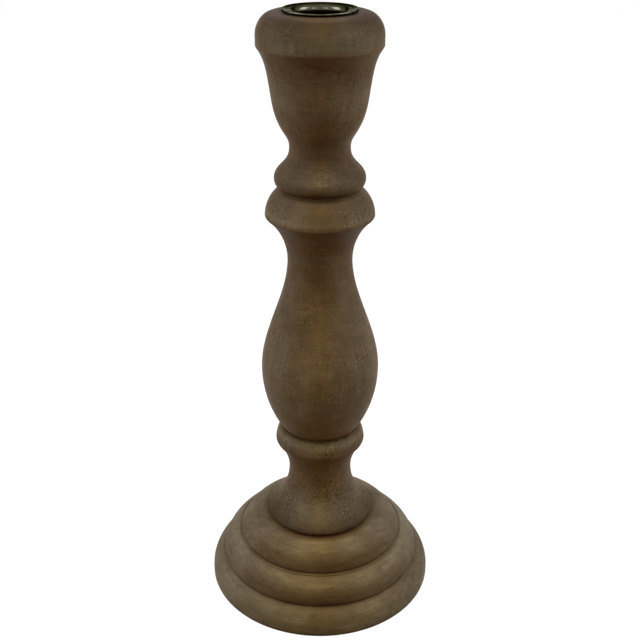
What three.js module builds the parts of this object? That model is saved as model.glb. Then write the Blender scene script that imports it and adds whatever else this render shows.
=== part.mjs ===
// Turned wooden candle holder with a drop-in brass cup, in millimetres, +Z up.
// Four turned pieces stand on one another: a stepped base, a pedestal, a vase and a cup.
// The origin is the middle of the felt pad's underside, and every piece is round about Z.

import * as THREE from 'three';

// Whole height, of which the vase's long neck takes what the other parts leave
const holderHeight = 300;

// Fineness of the round shapes
const turningFlats = 48;
const pinFlats = 24;
const arcTolerance = 0.06;
const curveChords = 8;
const quarterTurnDegrees = 90;

// Felt pad, let into the base and standing a little proud of it
const feltRadius = 54.5;
const feltThickness = 1.5;
const feltRecessDepth = 1.2;
const feltEdgeClearance = 0.3;

// Base: three quarter-round rings, one above the other, with a narrow ledge round the upper one
const lowerRingRadius = 58.8;
const lowerRingHeight = 14;
const middleRingRadius = 52.3;
const middleRingHeight = 13.1;
const upperRingRadius = 42.8;
const upperRingHeight = 11.5;
const ringTurnDegrees = 60;
const upperRingTurnDegrees = 67;
const lowerBandHeight = 2.5;
const lowerEdgeBevel = 0.4;
const ledgeWidth = 1.4;
const ledgeDrop = 0.7;

// Pedestal: a bell foot, a neck and a collar with a narrow fillet on top
const footSeatRadius = 26.9;
const footRadius = 27.5;
const footToeHeight = 1.3;
const footToNeckHeight = 25.8;
const footSwellShare = 0.21;
const footCoveShare = 0.64;
const pedestalNeckRadius = 16.2;
const neckToCollarHeight = 15.7;
const collarUndersideRadius = 21.9;
const collarUndersideTurnDegrees = 38;
const collarArrisHeight = 2.2;
const collarRadius = 22.9;
const collarHeight = 7.4;
const collarTurnDegrees = 22;
const collarLedgeWidth = 0.3;
const collarFilletRadius = 20.4;
const collarFilletHeight = 1.3;

// Vase: a full bulb that narrows to a neck under a sharp shoulder
const bulbSeatRadius = 19.8;
const bulbRadius = 29.35;
const bulbHeight = 32.9;
const bulbTurnDegrees = 33;
const bulbSwellShare = 0.33;
const vaseNeckCoveShare = 0.33;
const vaseNeckRadius = 15.65;
const neckToShoulderHeight = 21.9;
const shoulderUndersideRadius = 25.7;
const shoulderUndersideTurnDegrees = 48;
const shoulderArrisHeight = 0.9;
const shoulderRadius = 26;
const shoulderHeight = 11.5;
const shoulderTopRadius = 20.3;
const shoulderTurnDegrees = 47;
const filletRadius = 20;
const filletHeight = 2.1;

// Cup: a bead, a neck, a bowl and a rolled rim round the socket
const beadSeatRadius = 19.9;
const beadRadius = 21.4;
const beadHeight = 3.9;
const beadTurnDegrees = 44;
const beadToNeckHeight = 14.5;
const beadSwellShare = 0.345;
const cupNeckCoveShare = 0.5;
const cupNeckRadius = 14.15;
const neckToBowlHeight = 23.2;
const bowlCoveShare = 0.29;
const bowlSwellShare = 0.69;
const bowlRadius = 22.15;
const bowlLeanDegrees = 8;
const bowlToRimHeight = 21.8;
const flareStartShare = 0.53;
const flareEndShare = 0.27;
const flareLeanDegrees = 36;
const rimUndersideRadius = 28.1;
const rimArrisHeight = 1.2;
const rimRadius = 28.45;
const rimBandHeight = 4;
const rimRollHeight = 8.1;
const rimRollRadius = 24.6;
const rimRollTurnDegrees = 50;
const rimCrownHeight = 1.7;
const rimCrownStartShare = 0.24;
const rimCrownEndShare = 0.38;
const rimTopRadius = 15.5;
const socketChamfer = 0.9;
const socketFloorClearance = 0.4;

// Brass cup: pressed sheet with a dished flange that rests on the wood
const candleRadius = 11;
const candleClearance = 0.25;
const brassSheet = 0.7;
const brassDepth = 25;
const brassFloorRound = 1.2;
const brassInnerBend = 1.3;
const flangeRadius = 16.9;
const flangeSeatRadius = 14.2;
const flangeLift = 0.5;
const lipTurnDegrees = 170;
const brassSocketClearance = 0.35;

// Dowels across the two stem joints
const dowelRadius = 5;
const dowelLength = 32;
const dowelEndBevel = 1;
const dowelClearance = 0.3;
const dowelHoleSpare = 1;

// Screw that holds the base to the pedestal
const screwRadius = 2.4;
const screwLength = 50;
const screwTipLength = 5;
const screwHeadRadius = 4.6;
const screwHeadHeight = 3;
const screwHeadBevel = 0.9;
const screwClearance = 0.3;
const screwHoleSpare = 1;
const counterboreRadius = 6;
const counterboreDepth = 13;

// Sizes that follow from the ones above
const baseHeight = lowerRingHeight + middleRingHeight + upperRingHeight;
const pedestalHeight = footToeHeight + footToNeckHeight + neckToCollarHeight
  + collarArrisHeight + collarHeight + collarFilletHeight;
const cupHeight = beadHeight + beadToNeckHeight + neckToBowlHeight + bowlToRimHeight
  + rimArrisHeight + rimBandHeight + rimRollHeight + rimCrownHeight;
const flangeHeight = flangeLift + brassSheet;
const baseSeat = feltThickness - feltRecessDepth;
const vaseHeight = holderHeight - baseSeat - baseHeight - pedestalHeight - cupHeight
  - flangeHeight;
const bulbToNeckHeight = vaseHeight - bulbHeight - neckToShoulderHeight - shoulderArrisHeight
  - shoulderHeight - filletHeight;
const brassBoreRadius = candleRadius + candleClearance;
const brassWallRadius = brassBoreRadius + brassSheet;
const socketRadius = brassWallRadius + brassSocketClearance;
const socketDepth = brassDepth + socketFloorClearance;
const dowelHoleRadius = dowelRadius + dowelClearance;
const dowelHoleDepth = dowelLength / 2 + dowelHoleSpare;
const screwHoleRadius = screwRadius + screwClearance;
const screwHeadSeat = feltRecessDepth + counterboreDepth;
const screwPilotDepth = screwLength - (baseHeight - screwHeadSeat) + screwHoleSpare;

// Heights of the other seats, from the floor up
const pedestalSeat = baseSeat + baseHeight;
const vaseSeat = pedestalSeat + pedestalHeight;
const cupSeat = vaseSeat + vaseHeight;
const brassSeat = cupSeat + cupHeight;

// Outlines are lists of (radius, height) points, and run up the outside of a piece
function outlineFrom(radius, height) {
  return [new THREE.Vector2(radius, height)];
}

function lineTo(outline, radius, height) {
  outline.push(new THREE.Vector2(radius, height));
}

/**
 * Part of a circle to the next point, in chords that stray from it by the tolerance at most.
 * A hollow stretch has a negative turn.
 */
function arcTo(outline, radius, height, turnDegrees) {
  const start = outline[outline.length - 1];
  const end = new THREE.Vector2(radius, height);
  const turn = THREE.MathUtils.degToRad(turnDegrees);
  const chord = end.clone().sub(start);
  const toCentre = new THREE.Vector2(-chord.y, chord.x).divideScalar(2 * Math.tan(turn / 2));
  const centre = start.clone().add(end).divideScalar(2).add(toCentre);
  const spoke = start.clone().sub(centre);
  const chordTurn = 2 * Math.acos(Math.max(0, 1 - arcTolerance / spoke.length()));
  const steps = Math.max(2, Math.ceil(Math.abs(turn) / chordTurn));
  for (let step = 1; step < steps; step += 1) {
    const swung = spoke.clone().rotateAround(new THREE.Vector2(), turn * step / steps);
    outline.push(centre.clone().add(swung));
  }
  outline.push(end);
}

/**
 * How a curve leaves or meets a point: how far it leans from upright, and for what share of the
 * straight distance that lean pulls it along.
 */
function leaning(share, leanDegrees) {
  const lean = THREE.MathUtils.degToRad(leanDegrees);
  return new THREE.Vector2(share * Math.sin(lean), share * Math.cos(lean));
}

function upright(share) {
  return leaning(share, 0);
}

function curveTo(outline, radius, height, leaving, arriving) {
  const start = outline[outline.length - 1];
  const end = new THREE.Vector2(radius, height);
  const distance = start.distanceTo(end);
  const curve = new THREE.CubicBezierCurve(
    start,
    start.clone().addScaledVector(leaving, distance),
    end.clone().addScaledVector(arriving, -distance),
    end,
  );
  outline.push(...curve.getPoints(curveChords).slice(1));
}

/** Spins an outline about Z. The lathe turns about Y, so the result is stood up. */
function turned(outline, flats) {
  const geometry = new THREE.LatheGeometry(outline, flats);
  geometry.rotateX(Math.PI / 2);
  return geometry;
}

function feltMaterial() {
  return new THREE.MeshStandardMaterial({ color: 0x2b241d, roughness: 1, metalness: 0 });
}

function woodMaterial() {
  return new THREE.MeshStandardMaterial({ color: 0x5d4a34, roughness: 0.6, metalness: 0 });
}

function dowelMaterial() {
  return new THREE.MeshStandardMaterial({ color: 0xb99a6b, roughness: 0.75, metalness: 0 });
}

function brassMaterial() {
  return new THREE.MeshStandardMaterial({ color: 0x6e6a3c, roughness: 0.35, metalness: 1 });
}

function steelMaterial() {
  return new THREE.MeshStandardMaterial({ color: 0x9a9a98, roughness: 0.4, metalness: 1 });
}

/** A named piece whose own zero height stands at the given seat. */
function piece(name, outline, flats, material, seat) {
  const mesh = new THREE.Mesh(turned(outline, flats), material);
  mesh.name = name;
  mesh.position.z = seat;
  return mesh;
}

function feltPad() {
  const outline = outlineFrom(0, 0);
  lineTo(outline, feltRadius, 0);
  lineTo(outline, feltRadius, feltThickness);
  lineTo(outline, 0, feltThickness);
  return piece('felt_pad', outline, turningFlats, feltMaterial(), 0);
}

function baseTurning() {
  const recessRadius = feltRadius + feltEdgeClearance;
  const lowerRingTop = lowerRingHeight;
  const middleRingTop = lowerRingTop + middleRingHeight;
  const ledgeRadius = upperRingRadius + ledgeWidth;
  const outline = outlineFrom(counterboreRadius, feltRecessDepth);
  lineTo(outline, recessRadius, feltRecessDepth);
  lineTo(outline, recessRadius, 0);
  lineTo(outline, lowerRingRadius - lowerEdgeBevel, 0);
  lineTo(outline, lowerRingRadius, lowerEdgeBevel);
  lineTo(outline, lowerRingRadius, lowerBandHeight);
  arcTo(outline, middleRingRadius, lowerRingTop, ringTurnDegrees);
  arcTo(outline, ledgeRadius, middleRingTop - ledgeDrop, ringTurnDegrees);
  lineTo(outline, ledgeRadius, middleRingTop);
  lineTo(outline, upperRingRadius, middleRingTop);
  arcTo(outline, footRadius, baseHeight, upperRingTurnDegrees);
  lineTo(outline, screwHoleRadius, baseHeight);
  lineTo(outline, screwHoleRadius, screwHeadSeat);
  lineTo(outline, counterboreRadius, screwHeadSeat);
  lineTo(outline, counterboreRadius, feltRecessDepth);
  return piece('base_turning', outline, turningFlats, woodMaterial(), baseSeat);
}

function baseScrew() {
  const outline = outlineFrom(0, -screwHeadHeight);
  lineTo(outline, screwHeadRadius - screwHeadBevel, -screwHeadHeight);
  lineTo(outline, screwHeadRadius, screwHeadBevel - screwHeadHeight);
  lineTo(outline, screwHeadRadius, 0);
  lineTo(outline, screwRadius, 0);
  lineTo(outline, screwRadius, screwLength - screwTipLength);
  lineTo(outline, 0, screwLength);
  return piece('base_screw', outline, pinFlats, steelMaterial(), baseSeat + screwHeadSeat);
}

function pedestalTurning() {
  const neckHeight = footToeHeight + footToNeckHeight;
  const collarUnderside = neckHeight + neckToCollarHeight;
  const collarArris = collarUnderside + collarArrisHeight;
  const collarTop = collarArris + collarHeight;
  const outline = outlineFrom(0, screwPilotDepth);
  lineTo(outline, screwHoleRadius, screwPilotDepth);
  lineTo(outline, screwHoleRadius, 0);
  lineTo(outline, footSeatRadius, 0);
  lineTo(outline, footRadius, footToeHeight);
  const footSwell = upright(footSwellShare);
  const footCove = upright(footCoveShare);
  curveTo(outline, pedestalNeckRadius, neckHeight, footSwell, footCove);
  arcTo(outline, collarUndersideRadius, collarUnderside, -collarUndersideTurnDegrees);
  arcTo(outline, collarRadius, collarArris, collarUndersideTurnDegrees);
  arcTo(outline, collarFilletRadius + collarLedgeWidth, collarTop, collarTurnDegrees);
  lineTo(outline, collarFilletRadius, collarTop);
  lineTo(outline, collarFilletRadius, pedestalHeight);
  lineTo(outline, dowelHoleRadius, pedestalHeight);
  lineTo(outline, dowelHoleRadius, pedestalHeight - dowelHoleDepth);
  lineTo(outline, 0, pedestalHeight - dowelHoleDepth);
  return piece('pedestal_turning', outline, turningFlats, woodMaterial(), pedestalSeat);
}

function vaseTurning() {
  const neckHeight = bulbHeight + bulbToNeckHeight;
  const shoulderUnderside = neckHeight + neckToShoulderHeight;
  const shoulderArris = shoulderUnderside + shoulderArrisHeight;
  const shoulderTop = shoulderArris + shoulderHeight;
  const outline = outlineFrom(0, dowelHoleDepth);
  lineTo(outline, dowelHoleRadius, dowelHoleDepth);
  lineTo(outline, dowelHoleRadius, 0);
  lineTo(outline, bulbSeatRadius, 0);
  arcTo(outline, bulbRadius, bulbHeight, bulbTurnDegrees);
  const bulbSwell = upright(bulbSwellShare);
  const neckCove = upright(vaseNeckCoveShare);
  curveTo(outline, vaseNeckRadius, neckHeight, bulbSwell, neckCove);
  arcTo(outline, shoulderUndersideRadius, shoulderUnderside, -shoulderUndersideTurnDegrees);
  arcTo(outline, shoulderRadius, shoulderArris, shoulderUndersideTurnDegrees);
  arcTo(outline, shoulderTopRadius, shoulderTop, shoulderTurnDegrees);
  lineTo(outline, filletRadius, shoulderTop);
  lineTo(outline, filletRadius, vaseHeight);
  lineTo(outline, dowelHoleRadius, vaseHeight);
  lineTo(outline, dowelHoleRadius, vaseHeight - dowelHoleDepth);
  lineTo(outline, 0, vaseHeight - dowelHoleDepth);
  return piece('vase_turning', outline, turningFlats, woodMaterial(), vaseSeat);
}

function cupTurning() {
  const neckHeight = beadHeight + beadToNeckHeight;
  const bowlHeight = neckHeight + neckToBowlHeight;
  const rimUnderside = bowlHeight + bowlToRimHeight;
  const rimArris = rimUnderside + rimArrisHeight;
  const rimBandTop = rimArris + rimBandHeight;
  const rimRollTop = rimBandTop + rimRollHeight;
  const beadSwell = upright(beadSwellShare);
  const neckCove = upright(cupNeckCoveShare);
  const bowlCove = upright(bowlCoveShare);
  const bowlSwell = leaning(bowlSwellShare, bowlLeanDegrees);
  const flareStart = leaning(flareStartShare, bowlLeanDegrees);
  const flareEnd = leaning(flareEndShare, flareLeanDegrees);
  const crownStart = leaning(rimCrownStartShare, -rimRollTurnDegrees);
  const crownEnd = leaning(rimCrownEndShare, -quarterTurnDegrees);
  const outline = outlineFrom(0, dowelHoleDepth);
  lineTo(outline, dowelHoleRadius, dowelHoleDepth);
  lineTo(outline, dowelHoleRadius, 0);
  lineTo(outline, beadSeatRadius, 0);
  arcTo(outline, beadRadius, beadHeight, beadTurnDegrees);
  curveTo(outline, cupNeckRadius, neckHeight, beadSwell, neckCove);
  curveTo(outline, bowlRadius, bowlHeight, bowlCove, bowlSwell);
  curveTo(outline, rimUndersideRadius, rimUnderside, flareStart, flareEnd);
  arcTo(outline, rimRadius, rimArris, flareLeanDegrees);
  lineTo(outline, rimRadius, rimBandTop);
  arcTo(outline, rimRollRadius, rimRollTop, rimRollTurnDegrees);
  curveTo(outline, rimTopRadius, cupHeight, crownStart, crownEnd);
  lineTo(outline, socketRadius + socketChamfer, cupHeight);
  lineTo(outline, socketRadius, cupHeight - socketChamfer);
  lineTo(outline, socketRadius, cupHeight - socketDepth);
  lineTo(outline, 0, cupHeight - socketDepth);
  return piece('cup_turning', outline, turningFlats, woodMaterial(), cupSeat);
}

/** The brass cup's zero height is the underside of its flange. */
function brassCandleCup() {
  const wallBend = brassInnerBend - brassSheet;
  const floorHeight = brassSheet - brassDepth;
  const lipRadius = flangeRadius - brassSheet / 2;
  const outline = outlineFrom(0, -brassDepth);
  lineTo(outline, brassWallRadius - brassFloorRound, -brassDepth);
  arcTo(outline, brassWallRadius, brassFloorRound - brassDepth, quarterTurnDegrees);
  lineTo(outline, brassWallRadius, -wallBend);
  arcTo(outline, brassWallRadius + wallBend, 0, -quarterTurnDegrees);
  lineTo(outline, flangeSeatRadius, 0);
  lineTo(outline, lipRadius, flangeLift);
  arcTo(outline, lipRadius, flangeHeight, lipTurnDegrees);
  lineTo(outline, flangeSeatRadius, brassSheet);
  lineTo(outline, brassBoreRadius + brassInnerBend, brassSheet);
  arcTo(outline, brassBoreRadius, brassSheet - brassInnerBend, quarterTurnDegrees);
  lineTo(outline, brassBoreRadius, floorHeight + brassSheet);
  lineTo(outline, brassBoreRadius - brassSheet, floorHeight);
  lineTo(outline, 0, floorHeight);
  return piece('brass_candle_cup', outline, turningFlats, brassMaterial(), brassSeat);
}

/** A dowel lies half below and half above the joint that it crosses. */
function stemDowel(name, jointHeight) {
  const halfLength = dowelLength / 2;
  const outline = outlineFrom(0, -halfLength);
  lineTo(outline, dowelRadius - dowelEndBevel, -halfLength);
  lineTo(outline, dowelRadius, dowelEndBevel - halfLength);
  lineTo(outline, dowelRadius, halfLength - dowelEndBevel);
  lineTo(outline, dowelRadius - dowelEndBevel, halfLength);
  lineTo(outline, 0, halfLength);
  return piece(name, outline, pinFlats, dowelMaterial(), jointHeight);
}

const candleHolder = new THREE.Group();
candleHolder.add(
  feltPad(),
  baseTurning(),
  baseScrew(),
  pedestalTurning(),
  stemDowel('pedestal_vase_dowel', vaseSeat),
  vaseTurning(),
  stemDowel('vase_cup_dowel', cupSeat),
  cupTurning(),
  brassCandleCup(),
);

export default candleHolder;
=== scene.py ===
"""A turned wooden candle holder with a lift-out brass cup, in metres, +Z up.

Every turned piece is an outline of (radius, height) points that is swept round the Z axis, so its
surface is a function of two parameters: the place along the outline and the angle round the axis.
"""

import math
from typing import NamedTuple

import bpy
import numpy as np
from bpy.props import FloatProperty, FloatVectorProperty, IntProperty, PointerProperty
from bpy.types import NodeSocket, Operator, Panel, PropertyGroup
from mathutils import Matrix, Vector


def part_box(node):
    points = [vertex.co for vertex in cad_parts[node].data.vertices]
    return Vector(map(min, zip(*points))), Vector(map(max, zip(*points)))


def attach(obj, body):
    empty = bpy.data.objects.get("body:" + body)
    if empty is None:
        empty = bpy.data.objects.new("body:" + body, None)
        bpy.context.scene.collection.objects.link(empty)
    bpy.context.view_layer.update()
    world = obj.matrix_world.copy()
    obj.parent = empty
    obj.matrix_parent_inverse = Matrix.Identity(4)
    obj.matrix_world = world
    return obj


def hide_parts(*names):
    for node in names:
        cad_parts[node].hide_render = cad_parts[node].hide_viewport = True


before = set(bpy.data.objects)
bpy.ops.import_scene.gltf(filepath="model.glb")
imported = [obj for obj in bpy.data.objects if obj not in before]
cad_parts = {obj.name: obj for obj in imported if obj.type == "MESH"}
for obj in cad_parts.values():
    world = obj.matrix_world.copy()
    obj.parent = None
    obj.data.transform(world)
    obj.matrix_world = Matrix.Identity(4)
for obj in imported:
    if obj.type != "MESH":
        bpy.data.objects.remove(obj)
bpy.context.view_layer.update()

STAND = "stand"
INSERT = "brass_insert"
MM = 0.001
QUARTER = math.radians(90)
TINY = 1e-9  # a length far below any on the pieces

bl_info = {
    "name": "Turned Candle Holder",
    "version": (1, 0, 0),
    "blender": (4, 5, 0),
    "location": "3D View > Sidebar > Candle Holder",
    "description": "Builds a turned wooden candle holder with a lift-out brass cup",
    "category": "Object",
}


def foot_of(node):
    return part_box(node)[0].z


def top_of(node):
    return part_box(node)[1].z


def height_of(node):
    return top_of(node) - foot_of(node)


def radius_of(node):
    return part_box(node)[1].x


def chosen():
    """The sizes and finishes that are set in the scene."""
    return bpy.context.scene.candle_holder


# Properties that a user may change


def length(name, millimetres, description):
    """A length, with its default given in millimetres."""
    default = millimetres * MM
    return FloatProperty(
        name=name, description=description, default=default, min=0.0, precision=5, unit="LENGTH"
    )


def frame_length(name, metres, description):
    """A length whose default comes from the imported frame."""
    return length(name, metres / MM, description)


def turn(name, degrees, description):
    """An angle, with its default given in degrees."""
    default = math.radians(degrees)
    return FloatProperty(
        name=name, description=description, default=default, subtype="ANGLE", unit="ROTATION"
    )


def share(name, value, description):
    return FloatProperty(
        name=name, description=description, default=value, min=0.0, max=1.0, subtype="FACTOR"
    )


def number(name, value, description):
    return FloatProperty(name=name, description=description, default=value, min=0.0)


def power(name, watts, description):
    return FloatProperty(name=name, description=description, default=watts, unit="POWER")


def colour(name, value, description):
    """A colour, which may pass 1 where it tints another."""
    return FloatVectorProperty(
        name=name, description=description, default=value, min=0.0, max=2.0, subtype="COLOR"
    )


class LatheSettings(PropertyGroup):
    """Fineness of every turned surface, and the small marks that the tool leaves."""

    segments: IntProperty(
        name="Segments", description="Flats round a turned piece", default=180, min=24
    )
    arc_step: length("Arc step", 0.5, "Longest straight step along a curved outline")
    edge_ease: length("Edge ease", 0.22, "Rounding of each sharp arris")
    mark_depth: length("Mark depth", 0.03, "Depth of the shallow waves that the gouge leaves")
    mark_pitch: length("Mark pitch", 1.7, "Mean distance between those waves")
    marks_from: length("Marks from", 7.65, "Radius from which the waves show; bores have none")
    bore_clearance: length("Bore clearance", 0.3, "Play round a dowel or screw in its hole")
    bore_spare: length("Bore spare", 1.0, "Depth of a dowel hole past the dowel's end")


class BaseSizes(PropertyGroup):
    """Three quarter-round rings, one above the other."""

    lower_radius: frame_length("Lower radius", radius_of("base_turning"), "Widest ring's radius")
    lower_height: length("Lower height", 14.0, "Height of the widest ring")
    middle_radius: length("Middle radius", 52.3, "Middle ring's radius")
    middle_height: length("Middle height", 13.1, "Height of the middle ring")
    upper_radius: length("Upper radius", 42.8, "Upper ring's radius")
    ring_turn: turn("Ring turn", 60, "How far the lower two rings curve over")
    upper_turn: turn("Upper turn", 67, "How far the upper ring curves over")
    band_height: length("Band height", 2.5, "Upright band below the widest ring's curve")
    bevel: length("Bevel", 0.4, "Bevel round the bottom edge")
    ledge_width: length("Ledge width", 1.4, "Narrow ledge round the foot of the upper ring")
    ledge_drop: length("Ledge drop", 0.7, "Small step down at the ledge's outer edge")
    counterbore_radius: length("Counterbore radius", 6.0, "Hole for the screw's head")
    screw_head: length("Screw head", 3.0, "Height of the screw's head")
    screw_radius: length("Screw radius", 2.4, "Radius of the screw's shank")
    recess_clearance: length("Recess clearance", 0.3, "Play round the felt in its recess")
    recess_depth: length("Recess depth", 1.2, "How deep the felt lies in the base")


class PedestalSizes(PropertyGroup):
    """A bell foot, a neck and a collar."""

    foot_seat_radius: length("Foot seat radius", 26.9, "Radius where the foot meets the base")
    foot_radius: length("Foot radius", 27.5, "Widest radius of the foot")
    toe_height: length("Toe height", 1.3, "Height of the foot's undercut edge")
    neck_radius: length("Neck radius", 16.2, "Narrowest radius of the neck")
    foot_height: length("Foot height", 25.8, "From the toe up to the neck")
    foot_swell: share("Foot swell", 0.21, "How long the foot stays upright above the toe")
    foot_cove: share("Foot cove", 0.64, "How long the neck stays upright below its waist")
    collar_neck_height: length("Neck height", 15.7, "From the neck's waist to the collar")
    underside_radius: length("Underside radius", 21.9, "Radius under the collar's arris")
    underside_turn: turn("Underside turn", 38, "How far the hollow under the collar turns")
    arris_height: length("Arris height", 2.2, "Height of the rounded arris")
    collar_radius: length("Collar radius", 22.9, "Radius of the collar above its arris")
    collar_height: length("Collar height", 7.4, "Height of the collar's rounded side")
    collar_turn: turn("Collar turn", 22, "How far the collar's side curves over")
    fillet_radius: length("Fillet radius", 20.4, "Narrow fillet that the bulb stands on")
    collar_ledge: length("Collar ledge", 0.3, "Width of the ledge outside the fillet")


class VaseSizes(PropertyGroup):
    """A full bulb that narrows to a neck under a sharp shoulder."""

    seat_radius: length("Seat radius", 19.8, "Radius where the bulb meets the collar")
    bulb_radius: length("Bulb radius", 29.35, "Widest radius of the bulb")
    bulb_height: length("Bulb height", 32.9, "Height of the widest place")
    bulb_turn: turn("Bulb turn", 33, "How far the lower bulb curves")
    bulb_swell: share("Bulb swell", 0.33, "How full the bulb stays above its widest place")
    neck_cove: share("Neck cove", 0.33, "How slowly the neck opens below its waist")
    neck_radius: length("Neck radius", 15.65, "Narrowest radius of the neck")
    neck_height: length("Neck height", 21.9, "From the neck's waist to the shoulder")
    underside_radius: length("Underside radius", 25.7, "Radius under the shoulder's arris")
    underside_turn: turn("Underside turn", 48, "How far the hollow under the shoulder turns")
    arris_height: length("Arris height", 0.9, "Height of the rounded arris")
    shoulder_radius: length("Shoulder radius", 26.0, "Widest radius of the shoulder")
    shoulder_height: length("Shoulder height", 11.5, "Height of the shoulder's rounded top")
    shoulder_top_radius: length("Shoulder top radius", 20.3, "Radius at the fillet's foot")
    shoulder_turn: turn("Shoulder turn", 47, "How far the shoulder curves over")
    fillet_radius: length("Fillet radius", 20.0, "Radius of the fillet on top")
    fillet_height: length("Fillet height", 2.1, "Height of the fillet on top")


class CupSizes(PropertyGroup):
    """A bead, a neck, a bowl and a rolled rim round the socket."""

    seat_radius: length("Seat radius", 19.9, "Radius where the bead meets the fillet")
    bead_radius: length("Bead radius", 21.4, "Widest radius of the bead")
    bead_height: length("Bead height", 3.9, "Height of the bead's widest place")
    bead_turn: turn("Bead turn", 44, "How far the bead curves below its widest place")
    bead_rise: length("Bead rise", 14.5, "From the bead up to the neck")
    bead_swell: share("Bead swell", 0.345, "How full the bead stays above its widest place")
    neck_cove: share("Neck cove", 0.5, "How slowly the neck opens below its waist")
    neck_radius: length("Neck radius", 14.15, "Narrowest radius of the neck")
    bowl_rise: length("Bowl rise", 23.2, "From the neck up to the bowl's side")
    bowl_cove: share("Bowl cove", 0.29, "How slowly the neck opens above its waist")
    bowl_swell: share("Bowl swell", 0.69, "How full the bowl is low down")
    bowl_radius: length("Bowl radius", 22.15, "Radius of the bowl's side")
    bowl_lean: turn("Bowl lean", 8, "How far the bowl's side leans out")
    flare_rise: length("Flare rise", 21.8, "From the bowl's side up to the rim")
    flare_start: share("Flare start", 0.53, "How long the side keeps its lean")
    flare_end: share("Flare end", 0.27, "How slowly the flare meets the rim")
    flare_lean: turn("Flare lean", 36, "How far the flare leans out under the rim")
    underside_radius: length("Underside radius", 28.1, "Radius under the rim's arris")
    arris_height: length("Arris height", 1.2, "Height of the rounded arris")
    rim_radius: length("Rim radius", 28.45, "Widest radius of the rim")
    band_height: length("Band height", 4.0, "Upright band of the rim")
    roll_height: length("Roll height", 8.1, "Height of the rim's rounded roll")
    roll_radius: length("Roll radius", 24.6, "Radius where the roll meets the top")
    roll_turn: turn("Roll turn", 50, "How far the roll curves over")
    crown_start: share("Crown start", 0.24, "How soon the top turns level")
    crown_end: share("Crown end", 0.38, "How long the top stays level")
    top_radius: length("Top radius", 15.5, "Where the top becomes level")
    chamfer: length("Chamfer", 0.9, "Bevel at the socket's mouth")
    socket_play: length("Socket play", 0.35, "Play round the brass cup in its socket")
    socket_spare: length("Socket spare", 0.4, "Depth of the socket below the brass cup")


class BrassSizes(PropertyGroup):
    """Sheet brass pressed to a candle cup with a dished flange."""

    flange_radius: frame_length(
        "Flange radius", radius_of("brass_candle_cup"), "Outer radius of the flange"
    )
    bore_radius: length("Bore radius", 11.25, "Inner radius of the cup")
    sheet: length("Sheet", 0.7, "Thickness of the sheet")
    depth: length("Depth", 25.0, "From the flange's seat to the cup's underside")
    floor_round: length("Floor round", 1.2, "Rounding round the cup's floor, outside")
    outer_bend: length("Outer bend", 0.6, "Rounding under the flange, where the wall meets it")
    inner_bend: length("Inner bend", 2.4, "Rounding where the bore meets the flange")
    seat_radius: length("Seat radius", 14.2, "Where the flange starts to rise")
    lift: length("Lift", 0.5, "How far the flange's edge rises")
    lip_turn: turn("Lip turn", 170, "How far the flange's edge is rounded")
    lip_wear: length("Lip wear", 0.5, "Width of the rubbed band round the lip")
    edge_ease: length("Edge ease", 0.05, "Rounding of each sharp arris")


class FeltSizes(PropertyGroup):
    """A felt disc under the base."""

    radius: frame_length("Radius", radius_of("felt_pad"), "Radius of the disc")
    thickness: frame_length("Thickness", top_of("felt_pad"), "Thickness of the felt")
    edge_round: length("Edge round", 0.4, "Rounding of the cut edge")


class WoodFinish(PropertyGroup):
    """Stain and grain of the turned wood."""

    # Painted sheen: the grey-brown side colour stands in for the white sheen that the wood shows
    # at a low angle, so the wood is golden at the front and back and greyer at the sides.
    side_sheen: colour("Pale", (0.187, 0.151, 0.099), "Grey-brown wood at the sides")
    golden: colour("Golden", (0.227, 0.154, 0.06), "Golden wood at the front and back")
    # Painted shade: hollows and undersides, most of all at the front, are tinted redder in place
    # of the shade that shows no white sheen.
    shade_russet: colour("Russet", (1.28, 0.87, 0.57), "How hollows and undersides turn redder")
    coat: colour("Coat", (0.39, 0.31, 0.252), "What one full coat of the stain lets through")
    # A dark joint with painted shade: these coats are full at the front and fall towards the
    # sides.
    seam_coats: number("Seam coats", 1.3, "Coats of stain that lie in a joint itself")
    roughness: share("Roughness", 0.58, "Roughness of the thin coat")
    gloss: share("Gloss", 0.06, "Specular level of the thin coat")
    wear: share("Wear", 0.3, "How far the arrises are rubbed to the golden wood")


class MetalFinish(PropertyGroup):
    """Patina of the brass and plating of the screw."""

    brass: colour("Brass", (0.08, 0.08, 0.056), "Dull olive patina")
    rubbed: colour("Rubbed", (0.1, 0.09, 0.06), "Rubbed edge of the lip")
    tarnish: colour("Tarnish", (0.045, 0.04, 0.026), "Dark tarnish in the cup")
    brass_edge: colour("Brass edge", (0.25, 0.25, 0.2), "What the brass gives back at a low angle")
    steel: colour("Steel", (0.42, 0.42, 0.4), "Plated steel")


class SoftFinish(PropertyGroup):
    """Felt and bare dowel wood."""

    felt: colour("Felt", (0.03, 0.024, 0.019), "Dark brown felt")
    felt_fleck: colour("Felt fleck", (0.055, 0.045, 0.036), "Paler fibres in the felt")
    dowel: colour("Dowel", (0.48, 0.33, 0.17), "Bare hardwood")
    dowel_line: colour("Dowel line", (0.3, 0.18, 0.08), "Grain lines in the hardwood")


class StageSettings(PropertyGroup):
    """Camera, floor and lamps."""

    lens: FloatProperty(
        name="Lens", description="Focal length", default=56.911, unit="CAMERA", min=1.0
    )
    distance: length("Distance", 449.44, "From the axis to the camera")
    height: length("Height", 370.81, "Height of the camera")
    pitch: turn("Pitch", 26.1033, "How far the camera looks down")
    high_power: power("High power", 4.6, "Each soft lamp high at a side")
    low_power: power("Low power", 2.1, "Each soft lamp low at a side")
    front_power: power("Front power", 1.2, "Each soft lamp above the camera")
    back_power: power("Back power", 0.4, "Soft lamp high behind")
    ambient: number("Ambient", 0.16, "Even light from all round")
    floor_colour: colour("Floor colour", (0.16, 0.16, 0.16), "What the floor throws back")
    floor_glow: number("Floor glow", 0.965, "What the camera sees on top of that")


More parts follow.
